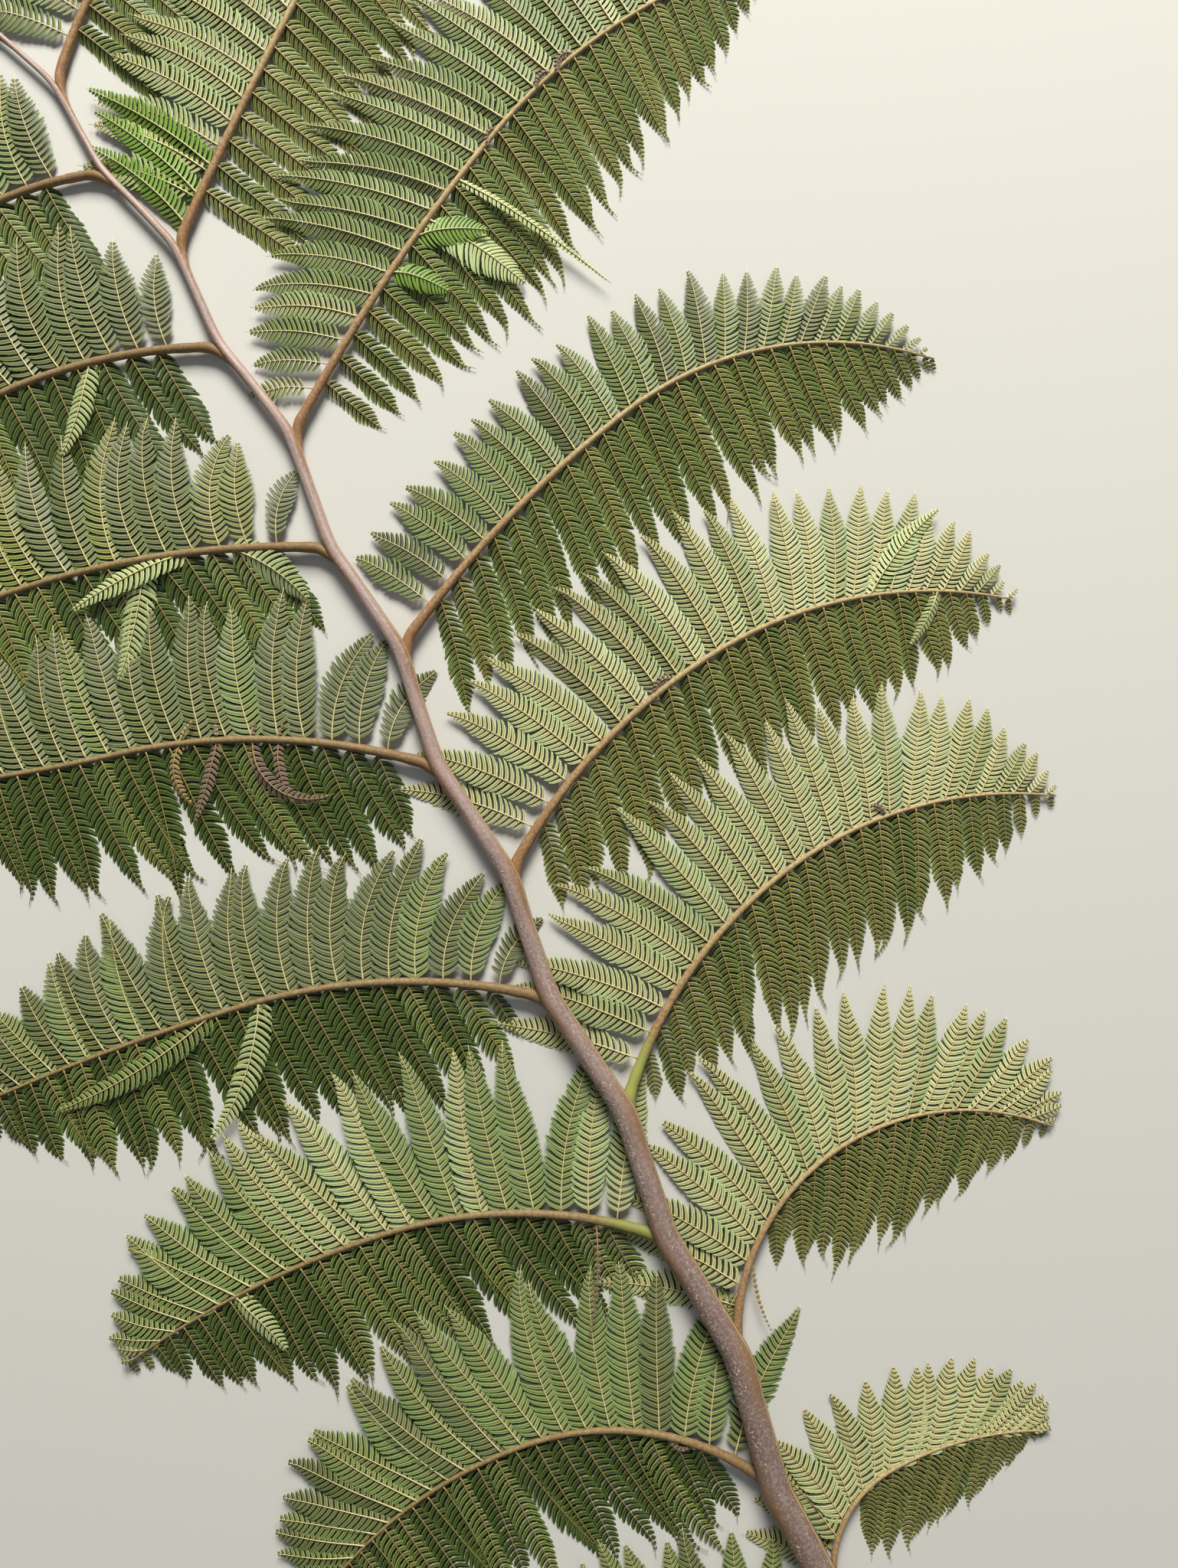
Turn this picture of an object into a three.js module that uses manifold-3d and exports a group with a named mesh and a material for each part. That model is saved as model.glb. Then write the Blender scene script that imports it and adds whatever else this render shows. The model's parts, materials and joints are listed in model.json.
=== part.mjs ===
// A tree fern frond, cut off near its foot and lying on a level surface with its underside up.
// Millimetres. +Y runs from the cut towards the tip, +Z is up. Headings are degrees from +X towards +Y.
import * as THREE from 'three';
import { mergeVertices } from 'three/addons/utils/BufferGeometryUtils.js';
import Module from 'manifold-3d';

// The rachis, which is the frond's main stem
const RACHIS_LENGTH = 1730;
const RACHIS_TIP_WIDTH = 1.6;
const RACHIS_CUT_WIDTH = 25.1;
const RACHIS_TAPER = 1.55;
const RACHIS_LIFT = 4;
const RACHIS_STEP = 5;
const RACHIS_SIDES = 10;
const STATIONS = 60;
const STRAIGHT_LENGTH = 225;
const TURN = 15.3;
const TURN_LENGTH = 1135;
const SWAY = 2;
const SWAY_LENGTH = 840;
const SWAY_FROM = 326;
const ZIGZAG = 5.8;
const ZIGZAG_GAIN = 4;
const ZIGZAG_EASE = 0.86;

// The pinnae, which are the side branches: they leave left and right by turns
const PINNAE = 25;
const FIRST_PINNA = 101;
const FIRST_GAP = 90.5;
const GAP_LOSS = 0.28;
const GAP_ROW = 14;
const WIDEST_AT = 0.58;
const LONGEST_PINNA = 440;
const FOOT_DROP = 0.45;
const COSTA_HEIGHT = 6;
const COSTA_LEVEL_AT = 0.35;
const COSTA_TIP_HEIGHT = 4;
const COSTA_FOOT_WIDTH = 6.2;
const COSTA_TIP_WIDTH = 1.5;
const CLEARANCE = 0.3;

// The leaflets along each pinna
const LOWER_LEAFLET = 105;
const LEAFLET_SHARE = 0.34;
const LEAFLET_THICKNESS = 1.5;
const LEAFLET_GAP = 27;
const LEAFLET_GAP_LOSS = 13;
const FIRST_LEAFLET = 26;
const LEAFLET_WAIST = 0.42;
const LEAFLET_FILL = 0.8;
const LEAFLET_SWAY = 2.5;
const LOWER_HEIGHT = 1;
const UPPER_HEIGHT = 3.9;
const OUTER_LOSS = 38;
const TIP_LOSS = 22;
const LEAST_ANGLE = 42;
const STEEPEST_ANGLE = 152;
const SHORTENED_FROM = 125;
const RACHIS_ROOM = 2;
const UPPER_ROOM = 32;
const LOWER_ROOM = 5;
const SHORTEST_LEAFLET = 10;

// Each pinna from the cut up: its angle to the rachis, its bend over the inner and the outer half,
// its length, its first upper leaflets' angle to it and their curl, its lower leaflets' heading at
// its foot and at its tip, its longest upper leaflet, and the first leaflets' share of that length
const LEFT = [
  [27, 54, 24, 300, 90, 14, -75, -83, 108, 0.8], [30, 58, 35, 350, 92, 12, -76, -83, 114, 0.9],
  [46, 37, 18, 380, 92, 8, -72, -85, 114, 0.8], [50, 31, 8, 415, 116, 28, -72, -98, 96, 0.4],
  [47, 30, -10, 430, 104, 26, -78, -98, 96, 0.5], [60, 22, 10, 440, 104, 30, -70, -96, 96, 0.4],
  [58, 33, 14, 400, 98, 22, -72, -110, 96, 0.5], [60, 40, 14, 350, 94, 18, -72, -102, 96, 0.6],
];
const RIGHT = [
  [2, 80, 30, 212, 74, 14, -117, -132, 114, 0.9], [19, 59, 57, 305, 90, 12, -115, -129, 107, 0.95],
  [41, 37, 44, 382, 104, 10, -106, -107, 103, 1.0], [53, 31, 43, 404, 110, 14, -108, -93, 98, 0.95],
  [61, 17, 56, 430, 104, 14, -103, -79, 70, 0.85], [57, 11, 36, 470, 126, 16, -64, -96, 110, 0.3],
  [58, 4, 48, 420, 98, 16, -62, -84, 105, 0.8], [54, 30, 40, 360, 100, 16, -60, -80, 100, 0.7],
];
const NEAR_TIP = {
  left: [62, 10, 26, 0, 92, 14, -72, -98, 98, 0.7],
  right: [62, 10, 26, 0, 98, 14, -62, -84, 98, 0.7],
};

const rachisSkin = new THREE.MeshStandardMaterial({ color: 0x86696a, roughness: 0.6, metalness: 0 });
const leafSkin = new THREE.MeshStandardMaterial({ color: 0x9aa46a, roughness: 0.75, metalness: 0 });

const { lerp, clamp, degToRad } = THREE.MathUtils;

// A number from 0 to 1 that is always the same for the same three numbers
function chance(a, b, c) {
  const v = Math.sin(a * 12.9898 + b * 78.233 + c * 37.719) * 43758.5453;
  return v - Math.floor(v);
}

function ahead(heading, distance) {
  const a = degToRad(heading);
  return new THREE.Vector2(Math.cos(a) * distance, Math.sin(a) * distance);
}

function rachisRadius(s) {
  return (RACHIS_TIP_WIDTH + (RACHIS_CUT_WIDTH - RACHIS_TIP_WIDTH) * (1 - s / RACHIS_LENGTH) ** RACHIS_TAPER) / 2;
}

function rachisHeight(s) {
  return rachisRadius(s) + RACHIS_LIFT * Math.sin(Math.PI * clamp(s / RACHIS_LENGTH, 0, 1)) ** 0.5;
}

function meanHeading(s) {
  const turn = TURN * (Math.max(0, s - STRAIGHT_LENGTH) / TURN_LENGTH) ** 2;
  return 90 + turn + SWAY * Math.sin(2 * Math.PI * (s - SWAY_FROM) / SWAY_LENGTH);
}

// Where the pinnae leave, as distances from the cut, closing up towards the tip
function pinnaStarts() {
  const starts = [FIRST_PINNA];
  for (let k = 0; k < PINNAE - 1; k++) {
    starts.push(starts[k] + FIRST_GAP * (1 - GAP_LOSS * (k / GAP_ROW) ** 2));
  }
  return starts;
}

// The rachis turns a little away from each pinna that it gives off
function rachisWalk(starts) {
  const points = [];
  const place = new THREE.Vector2(0, 0);
  let heading = 90;
  for (let s = 0; s <= RACHIS_LENGTH + RACHIS_STEP / 2; s += RACHIS_STEP) {
    const passed = starts.filter((start) => start <= s).length;
    const side = passed === 0 ? 0 : (passed % 2 === 1 ? 1 : -1);
    const target = meanHeading(s) - side * (ZIGZAG + ZIGZAG_GAIN * s / RACHIS_LENGTH);
    heading += (target - heading) * ZIGZAG_EASE;
    points.push({ at: place.clone(), heading });
    place.add(ahead(heading, RACHIS_STEP));
  }
  return points;
}

const starts = pinnaStarts();
const walk = rachisWalk(starts);

function rachisAt(s) {
  const place = clamp(s / RACHIS_STEP, 0, walk.length - 1.001);
  const i = Math.floor(place);
  return {
    at: walk[i].at.clone().lerp(walk[i + 1].at, place - i),
    heading: lerp(walk[i].heading, walk[i + 1].heading, place - i),
  };
}

// A closed solid from corner points and polygons that list them anticlockwise from outside
function solid(corners, polygons) {
  const index = [];
  for (const [first, ...rest] of polygons) {
    for (let i = 0; i + 1 < rest.length; i++) index.push(first, rest[i], rest[i + 1]);
  }
  const geometry = new THREE.BufferGeometry();
  geometry.setAttribute('position', new THREE.Float32BufferAttribute(corners.flatMap((p) => [p.x, p.y, p.z]), 3));
  geometry.setIndex(index);
  return geometry;
}

// The rachis as round sections in upright planes, fatter by extra
function rachisGeometry(extra) {
  const corners = [];
  const polygons = [];
  for (let i = 0; i <= STATIONS; i++) {
    const s = RACHIS_LENGTH * i / STATIONS;
    const { at, heading } = rachisAt(s);
    const left = ahead(i === 0 ? 180 : heading + 90, 1);
    const radius = rachisRadius(s) + extra;
    for (let j = 0; j < RACHIS_SIDES; j++) {
      const a = 2 * Math.PI * (j + 0.5) / RACHIS_SIDES;
      corners.push(new THREE.Vector3(
        at.x - left.x * radius * Math.sin(a),
        at.y - left.y * radius * Math.sin(a),
        rachisHeight(s) - radius * Math.cos(a),
      ));
    }
  }
  for (let i = 0; i < STATIONS; i++) {
    for (let j = 0; j < RACHIS_SIDES; j++) {
      const a = i * RACHIS_SIDES + j;
      const b = i * RACHIS_SIDES + (j + 1) % RACHIS_SIDES;
      polygons.push([a, a + RACHIS_SIDES, b + RACHIS_SIDES, b]);
    }
  }
  const ring = [...Array(RACHIS_SIDES).keys()];
  polygons.push(ring, ring.map((j) => STATIONS * RACHIS_SIDES + j).toReversed());
  return solid(corners, polygons);
}

// One pinna's own stem, the costa, as a function of the share t of its length
function makeCosta(k) {
  const left = k % 2 === 0;
  const side = left ? 1 : -1;
  const s = starts[k];
  const row = (left ? LEFT : RIGHT)[Math.floor(k / 2)] ?? NEAR_TIP[left ? 'left' : 'right'];
  const past = (s / RACHIS_LENGTH - WIDEST_AT) / (1 - WIDEST_AT);
  const length = row[3] || LONGEST_PINNA * (1 - past ** 2) ** 0.75;
  const headingAt = (t) => meanHeading(s) + side * (
    row[0] + row[1] * Math.min(t, 0.5) / 0.5 + row[2] * Math.max(t - 0.5, 0) / 0.5
  );
  const steps = 60;
  const points = [rachisAt(s).at];
  for (let i = 0; i < steps; i++) {
    points.push(points[i].clone().add(ahead(headingAt((i + 0.5) / steps), length / steps)));
  }
  const foot = rachisHeight(s) - FOOT_DROP * rachisRadius(s);
  const level = Math.min(foot, COSTA_HEIGHT);
  const tip = Math.min(level, COSTA_TIP_HEIGHT);
  const size = Math.min(1, length / 380) ** 0.7;
  return {
    k, side, length, size, firstAngle: row[4], curl: row[5], headingAt, points,
    lowerHeadingAt: (t) => lerp(row[6], row[7], t), longestUpper: row[8], footShare: row[9],
    at: (t) => {
      const i = Math.min(Math.floor(t * steps), steps - 1);
      return points[i].clone().lerp(points[i + 1], t * steps - i);
    },
    heightAt: (t) => (t < COSTA_LEVEL_AT
      ? lerp(foot, level, t / COSTA_LEVEL_AT)
      : lerp(level, tip, (t - COSTA_LEVEL_AT) / (1 - COSTA_LEVEL_AT))),
    radiusAt: (t) => lerp(COSTA_FOOT_WIDTH * size, COSTA_TIP_WIDTH * size, t) / 2,
  };
}

const costae = starts.map((_, k) => makeCosta(k));

// How far a leaflet can run along its line before it comes within the room that a limb needs
function clearShare(line, limbs) {
  for (let i = 1; i < line.length; i++) {
    for (const { points, room } of limbs) {
      if (points.some((p) => p.distanceTo(line[i]) < room(p))) return (i - 1) / (line.length - 1);
    }
  }
  return 1;
}

// One leaflet of a pinna at the share t of its length: its waist and tip, or null where there is no room
function leaflet(costa, t, number, upper) {
  const { k, side, size } = costa;
  const heading = costa.headingAt(t);
  const sway = (chance(k, number, upper ? 1 : 2) - 0.5) * LEAFLET_SWAY;
  let start, end;
  let share = 1;
  if (upper) {
    const angle = costa.firstAngle - OUTER_LOSS * t - TIP_LOSS * t ** 6 + sway;
    start = heading - side * (angle - costa.curl * (1 - t));
    end = heading - side * (angle + costa.curl * (1 - t));
  } else {
    const wanted = costa.lowerHeadingAt(t) + sway;
    const turned = THREE.MathUtils.euclideanModulo((wanted - heading) * side, 360);
    const angle = Math.max(turned > 270 ? turned - 360 : turned, LEAST_ANGLE);
    if (angle > STEEPEST_ANGLE) return null;
    share = clamp((STEEPEST_ANGLE + 15 - angle) / (STEEPEST_ANGLE + 15 - SHORTENED_FROM), 0, 1);
    start = heading + side * lerp(90, angle, 0.75);
    end = heading + side * angle;
  }
  const full = Math.min(upper ? costa.longestUpper : LOWER_LEAFLET, LEAFLET_SHARE * costa.length);
  const foot = lerp(costa.footShare, 1, Math.min(t / (side > 0 ? 0.22 : 0.38), 1));
  const length = full * share * foot * Math.max(0.1, 1 - t ** 5);
  const steps = 12;
  const line = [costa.at(t)];
  for (let i = 0; i < steps; i++) {
    line.push(line[i].clone().add(ahead(lerp(start, end, (i + 0.5) / steps), length / steps)));
  }
  const neighbour = costae[k + (upper ? 2 : -2)];
  const limbs = [{ points: walk.map((w) => w.at), room: () => RACHIS_ROOM + rachisRadius(starts[k]) }];
  if (neighbour) limbs.push({ points: neighbour.points, room: () => (upper ? UPPER_ROOM * size : LOWER_ROOM) });
  const clear = clearShare(line, limbs);
  if (length * clear < SHORTEST_LEAFLET * size) return null;
  const along = (q) => {
    const place = q * clear * steps;
    const i = Math.min(Math.floor(place), steps - 1);
    return line[i].clone().lerp(line[i + 1], place - i);
  };
  const height = costa.heightAt(t);
  const thickness = LEAFLET_THICKNESS * size;
  return {
    waist: along(LEAFLET_WAIST),
    tip: along(1),
    across: ahead(lerp(start, end, LEAFLET_WAIST) + 90, 1),
    waistHeight: upper ? Math.max(height - 0.6, thickness * 2) : Math.min(LOWER_HEIGHT, height),
    tipHeight: upper ? Math.min(UPPER_HEIGHT, height) : thickness / 2,
    thickness,
    lean: Math.abs(Math.sin(degToRad(lerp(start, end, LEAFLET_WAIST) - heading))),
  };
}

// A pinna: a square costa whose sides run out into thin pointed leaflets, notched down to the costa
function pinnaGeometry(costa) {
  const { length, size } = costa;
  const rings = [0];
  for (let d = FIRST_LEAFLET * size; d < length - 6 * size; d += (LEAFLET_GAP - LEAFLET_GAP_LOSS * d / length) * size) {
    rings.push(d / length);
  }
  const corners = [];
  const polygons = [];
  const corner = (flat, z) => corners.push(new THREE.Vector3(flat.x, flat.y, z)) - 1;
  const ring = rings.map((t) => {
    const at = costa.at(t);
    const out = ahead(costa.headingAt(t) + 90, costa.radiusAt(t));
    const low = costa.heightAt(t) - costa.radiusAt(t);
    const high = costa.heightAt(t) + costa.radiusAt(t);
    const left = at.clone().add(out);
    const right = at.clone().sub(out);
    return { 1: [corner(left, low), corner(left, high)], '-1': [corner(right, low), corner(right, high)] };
  });
  const face = (side, ...ids) => polygons.push(side > 0 ? ids : ids.toReversed());

  for (let j = 0; j + 1 < rings.length; j++) {
    const here = ring[j];
    const next = ring[j + 1];
    face(1, here[-1][1], next[-1][1], next[1][1], here[1][1]);
    face(1, here[1][0], next[1][0], next[-1][0], here[-1][0]);
    for (const side of [1, -1]) {
      const [lowA, highA] = here[side];
      const [lowB, highB] = next[side];
      const t = (rings[j] + rings[j + 1]) / 2;
      const blade = j === 0 ? null : leaflet(costa, t, j, side !== costa.side);
      if (!blade) {
        face(side, lowA, highA, highB, lowB);
        continue;
      }
      const half = (rings[j + 1] - rings[j]) * length * LEAFLET_FILL * blade.lean / 2;
      const along = ahead(costa.headingAt(t), 1);
      const across = blade.across.multiplyScalar(blade.across.dot(along) < 0 ? -half : half);
      const back = blade.waist.clone().sub(across);
      const front = blade.waist.clone().add(across);
      const under = blade.waistHeight - blade.thickness / 2;
      const over = blade.waistHeight + blade.thickness / 2;
      const [backLow, backHigh] = [corner(back, under), corner(back, over)];
      const [frontLow, frontHigh] = [corner(front, under), corner(front, over)];
      const tip = corner(blade.tip, blade.tipHeight);
      face(side, highA, highB, frontHigh, backHigh);
      face(side, lowB, lowA, backLow, frontLow);
      face(side, lowA, highA, backHigh, backLow);
      face(side, highB, lowB, frontLow, frontHigh);
      face(side, backHigh, frontHigh, tip);
      face(side, frontLow, backLow, tip);
      face(side, backLow, backHigh, tip);
      face(side, frontHigh, frontLow, tip);
    }
  }
  const first = ring[0];
  const last = ring[ring.length - 1];
  const end = corner(costa.at(1), costa.heightAt(1));
  face(1, first[-1][1], first[1][1], first[1][0], first[-1][0]);
  face(1, last[1][1], last[-1][1], end);
  face(1, last[1][0], last[1][1], end);
  face(1, last[-1][0], last[1][0], end);
  face(1, last[-1][1], last[-1][0], end);
  return solid(corners, polygons);
}

const wasm = await Module();
wasm.setup();

function toManifold(geometry) {
  const bare = geometry.clone();
  for (const name of Object.keys(bare.attributes)) if (name !== 'position') bare.deleteAttribute(name);
  const merged = mergeVertices(bare, 1e-4);
  return new wasm.Manifold(new wasm.Mesh({
    numProp: 3,
    vertProperties: new Float32Array(merged.attributes.position.array),
    triVerts: new Uint32Array(merged.index.array),
  }));
}

function fromManifold(shape) {
  const { vertProperties, triVerts } = shape.getMesh();
  const geometry = new THREE.BufferGeometry();
  geometry.setAttribute('position', new THREE.BufferAttribute(new Float32Array(vertProperties), 3));
  geometry.setIndex(new THREE.BufferAttribute(new Uint32Array(triVerts), 1));
  return geometry;
}

const frond = new THREE.Group();

function add(name, geometry, material) {
  geometry.computeVertexNormals();
  const mesh = new THREE.Mesh(geometry, material);
  mesh.name = name;
  frond.add(mesh);
}

add('rachis', rachisGeometry(0), rachisSkin);

// Each pinna's foot is cut off just clear of the rachis, and a scrap beyond the rachis is dropped
const room = toManifold(rachisGeometry(CLEARANCE));
for (const costa of costae) {
  const bodies = toManifold(pinnaGeometry(costa)).subtract(room).decompose();
  const shape = bodies.reduce((best, body) => (body.volume() > best.volume() ? body : best));
  const number = String(Math.floor(costa.k / 2) + 1).padStart(2, '0');
  add(`pinna_${costa.side > 0 ? 'left' : 'right'}_${number}`, fromManifold(shape), leafSkin);
}

// The origin is under the middle of the whole frond, on the surface it lies on
const box = new THREE.Box3().setFromObject(frond);
const middle = box.getCenter(new THREE.Vector3());
frond.position.set(-middle.x, -middle.y, -box.min.z);

export default frond;
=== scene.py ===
import json
import math
from functools import partial
from types import SimpleNamespace
import bpy
import numpy as np
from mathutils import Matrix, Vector, noise


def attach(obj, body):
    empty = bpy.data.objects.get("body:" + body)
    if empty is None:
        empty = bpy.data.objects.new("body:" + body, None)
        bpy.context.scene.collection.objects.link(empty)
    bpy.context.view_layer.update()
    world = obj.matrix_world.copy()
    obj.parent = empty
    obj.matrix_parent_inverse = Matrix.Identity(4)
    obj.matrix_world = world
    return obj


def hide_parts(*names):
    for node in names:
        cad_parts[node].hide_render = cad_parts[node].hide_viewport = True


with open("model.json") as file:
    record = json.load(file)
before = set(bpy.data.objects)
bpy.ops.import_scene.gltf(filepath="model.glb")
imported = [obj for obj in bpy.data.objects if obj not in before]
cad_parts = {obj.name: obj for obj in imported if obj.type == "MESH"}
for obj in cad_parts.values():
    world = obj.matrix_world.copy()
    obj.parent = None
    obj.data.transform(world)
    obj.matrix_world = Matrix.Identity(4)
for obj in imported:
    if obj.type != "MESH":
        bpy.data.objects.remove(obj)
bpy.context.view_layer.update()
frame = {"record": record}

# The plan of the frond, in millimetres from the centre of its cut end.
# The same rule as the solids' gives the rachis, the costa of each pinna, and later each leaflet's line.
# Headings are degrees from +X towards +Y, and side is +1 for a pinna on the left and -1 on the right.
RACHIS_LENGTH = 1730
RACHIS_TIP_WIDTH = 1.6
RACHIS_CUT_WIDTH = 25.1
RACHIS_TAPER = 1.55
RACHIS_LIFT = 4
RACHIS_STEP = 5
STRAIGHT_LENGTH = 225
TURN = 15.3
TURN_LENGTH = 1135
SWAY = 2
SWAY_LENGTH = 840
SWAY_FROM = 326
ZIGZAG = 5.8
ZIGZAG_GAIN = 4
ZIGZAG_EASE = 0.86
PINNAE = 25
FIRST_PINNA = 101
FIRST_GAP = 90.5
GAP_LOSS = 0.28
GAP_ROW = 14
WIDEST_AT = 0.58
LONGEST_PINNA = 440
FOOT_DROP = 0.45
COSTA_HEIGHT = 6
COSTA_LEVEL_AT = 0.35
COSTA_TIP_HEIGHT = 4
COSTA_FOOT_WIDTH = 6.2
COSTA_TIP_WIDTH = 1.5
COSTA_STEPS = 60
FULL_PINNA = 380
SIZE_POWER = 0.7
LENGTH_POWER = 0.75
UPWARD = 90
# Each pinna from the cut up: its angle to the rachis, its bend over the inner and the outer half,
# its length, its first upper leaflets' angle to it and their curl, its lower leaflets' heading at
# its foot and at its tip, its longest upper leaflet, and the first leaflets' share of that length
LEFT = [
    [27, 54, 24, 300, 90, 14, -75, -83, 108, 0.8], [30, 58, 35, 350, 92, 12, -76, -83, 114, 0.9],
    [46, 37, 18, 380, 92, 8, -72, -85, 114, 0.8], [50, 31, 8, 415, 116, 28, -72, -98, 96, 0.4],
    [47, 30, -10, 430, 104, 26, -78, -98, 96, 0.5], [60, 22, 10, 440, 104, 30, -70, -96, 96, 0.4],
    [58, 33, 14, 400, 98, 22, -72, -110, 96, 0.5], [60, 40, 14, 350, 94, 18, -72, -102, 96, 0.6],
]
RIGHT = [
    [2, 80, 30, 212, 74, 14, -117, -132, 114, 0.9], [19, 59, 57, 305, 90, 12, -115, -129, 107, 0.95],
    [41, 37, 44, 382, 104, 10, -106, -107, 103, 1.0], [53, 31, 43, 404, 110, 14, -108, -93, 98, 0.95],
    [61, 17, 56, 430, 104, 14, -103, -79, 70, 0.85], [57, 11, 36, 470, 126, 16, -64, -96, 110, 0.3],
    [58, 4, 48, 420, 98, 16, -62, -84, 105, 0.8], [54, 30, 40, 360, 100, 16, -60, -80, 100, 0.7],
]
NEAR_TIP = {1: [62, 10, 26, 0, 92, 14, -72, -98, 98, 0.7], -1: [62, 10, 26, 0, 98, 14, -62, -84, 98, 0.7]}
CUT = np.array(frame["record"]["mounts"][0]["pos_m"]) * (1, 1, 0)


def ahead(heading, distance=1.0):
    angle = np.radians(heading)
    return np.stack([np.cos(angle) * distance, np.sin(angle) * distance], -1)


def lerp(a, b, share):
    return a + (b - a) * share


def along_line(q, source, points):
    """The places at q on a line whose points stand at the values of source."""
    return np.stack([np.interp(q, source, points[:, i]) for i in range(points.shape[1])], -1)


def walk_from(start, headings, length):
    """The points of a line of this length from start, by equal steps on these headings."""
    steps = ahead(headings, length / len(headings))
    return start + np.concatenate([np.zeros((1, 2)), np.cumsum(steps, 0)])


def rachis_radius(s):
    share = 1 - np.clip(s / RACHIS_LENGTH, 0, 1)
    return (RACHIS_TIP_WIDTH + (RACHIS_CUT_WIDTH - RACHIS_TIP_WIDTH) * share ** RACHIS_TAPER) / 2


def rachis_bottom(s):
    return RACHIS_LIFT * np.sin(math.pi * np.clip(s / RACHIS_LENGTH, 0, 1)) ** 0.5


def rachis_height(s):
    return rachis_radius(s) + rachis_bottom(s)


def mean_heading(s):
    turn = TURN * (max(0, s - STRAIGHT_LENGTH) / TURN_LENGTH) ** 2
    return UPWARD + turn + SWAY * math.sin(2 * math.pi * (s - SWAY_FROM) / SWAY_LENGTH)


starts = [FIRST_PINNA]
for row in range(PINNAE - 1):
    starts.append(starts[row] + FIRST_GAP * (1 - GAP_LOSS * (row / GAP_ROW) ** 2))

walk_s = np.arange(0, RACHIS_LENGTH + 1, RACHIS_STEP)
walk_at = np.zeros((len(walk_s), 2))
walk_heading = np.zeros(len(walk_s))
place = np.zeros(2)
heading = UPWARD
for i, s in enumerate(walk_s):
    passed = sum(start <= s for start in starts)
    side = 0 if passed == 0 else (1 if passed % 2 == 1 else -1)
    heading += (mean_heading(s) - side * (ZIGZAG + ZIGZAG_GAIN * s / RACHIS_LENGTH) - heading) * ZIGZAG_EASE
    walk_at[i] = place
    walk_heading[i] = heading
    place = place + ahead(heading, RACHIS_STEP)


def rachis_at(s):
    """The place and the heading of the rachis at s along it."""
    return along_line(s, walk_s, walk_at), np.interp(s, walk_s, walk_heading)


def make_costa(k):
    """The stem of the pinna with this number from the cut up, and the sizes of its leaflets."""
    side = 1 if k % 2 == 0 else -1
    s = starts[k]
    rows = LEFT if side > 0 else RIGHT
    row = rows[k // 2] if k // 2 < len(rows) else NEAR_TIP[side]
    angle, inner_bend, outer_bend, length, first_angle, curl, *lower, longest, foot_share = row
    past = (s / RACHIS_LENGTH - WIDEST_AT) / (1 - WIDEST_AT)
    length = length or LONGEST_PINNA * (1 - past ** 2) ** LENGTH_POWER
    foot = rachis_height(s) - FOOT_DROP * rachis_radius(s)
    level = min(foot, COSTA_HEIGHT)
    tip = min(level, COSTA_TIP_HEIGHT)
    size = min(1, length / FULL_PINNA) ** SIZE_POWER

    def heading_at(t):
        bend = inner_bend * np.minimum(t, 0.5) / 0.5 + outer_bend * np.maximum(t - 0.5, 0) / 0.5
        return mean_heading(s) + side * (angle + bend)

    points = walk_from(rachis_at(s)[0], heading_at((np.arange(COSTA_STEPS) + 0.5) / COSTA_STEPS), length)
    shares = np.linspace(0, 1, COSTA_STEPS + 1)

    def at(t):
        return along_line(t, shares, points)

    def height_at(t):
        inner = lerp(foot, level, np.minimum(t / COSTA_LEVEL_AT, 1))
        return inner + (tip - level) * np.clip((t - COSTA_LEVEL_AT) / (1 - COSTA_LEVEL_AT), 0, 1)

    def radius_at(t):
        return lerp(COSTA_FOOT_WIDTH, COSTA_TIP_WIDTH, t) * size / 2

    return SimpleNamespace(
        k=k, side=side, s=s, length=length, size=size, first_angle=first_angle, curl=curl, lower=lower,
        longest=longest, foot_share=foot_share, points=points, heading_at=heading_at, at=at,
        height_at=height_at, radius_at=radius_at,
    )


costae = [make_costa(k) for k in range(PINNAE)]

# The rachis is the frond's main stem: a round, woody, purple-brown stem that tapers to a thread.
# It is living tissue with a thin scurfy skin, orange-brown on its flanks and round each side branch.
# Low swellings carry the side branches, and its surface waves gently.
RACHIS_SIDES = 44
RACHIS_RING = 1.5
SMOOTHED_STEPS = 6
SMOOTHING = 1.3
SWELLING = 0.13
SWELLING_LENGTH = 16
SWELLING_BELOW = 5
SWELLING_FACE = 0.35
SCURF_LENGTH = 30
SCURF_BELOW = 8
SCURF_FACE = 0.2
SCURF_GAIN = 1.1
WAVE = 0.22
WAVE_ROUND = 1.3
WAVE_LENGTH = 22
RIPPLE = 0.45
RIPPLE_ROUND = 4.2
RIPPLE_LENGTH = 6
FULL_WAVE_RADIUS = 6
MM_PER_METRE = 1000
SURFACE_MAP = "Surface"
# The numbers of a Mix node's two colours, since its names stand for several kinds of input.
UNDER = 6
OVER = 7


def linear(text):
    """A colour written as sRGB hex, as the linear RGBA that Blender takes, by the curve of that standard."""
    parts = np.array([int(text[i:i + 2], 16) for i in (1, 3, 5)]) / 255
    low = parts / 12.92
    high = ((parts + 0.055) / 1.055) ** 2.4
    return (*np.where(parts <= 0.04045, low, high).tolist(), 1.0)


def connect(made, inputs):
    """Sets or links a node's inputs, given by name or in their order. An input is a value, a colour in hex,
    a socket, or a node, which stands for the first output that it has in use."""
    for name, value in inputs.items() if isinstance(inputs, dict) else enumerate(inputs):
        if isinstance(value, bpy.types.Node):
            value = next(output for output in value.outputs if output.enabled)
        if isinstance(value, bpy.types.NodeSocket):
            made.id_data.links.new(value, made.inputs[name])
        else:
            made.inputs[name].default_value = linear(value) if isinstance(value, str) else value


def add_node(tree, kind, inputs=(), **fields):
    """Adds a shader node of this kind with its fields, and sets or links its inputs."""
    made = tree.nodes.new("ShaderNode" + kind)
    for name, value in fields.items():
        setattr(made, name, value)
    connect(made, inputs)
    return made


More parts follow.
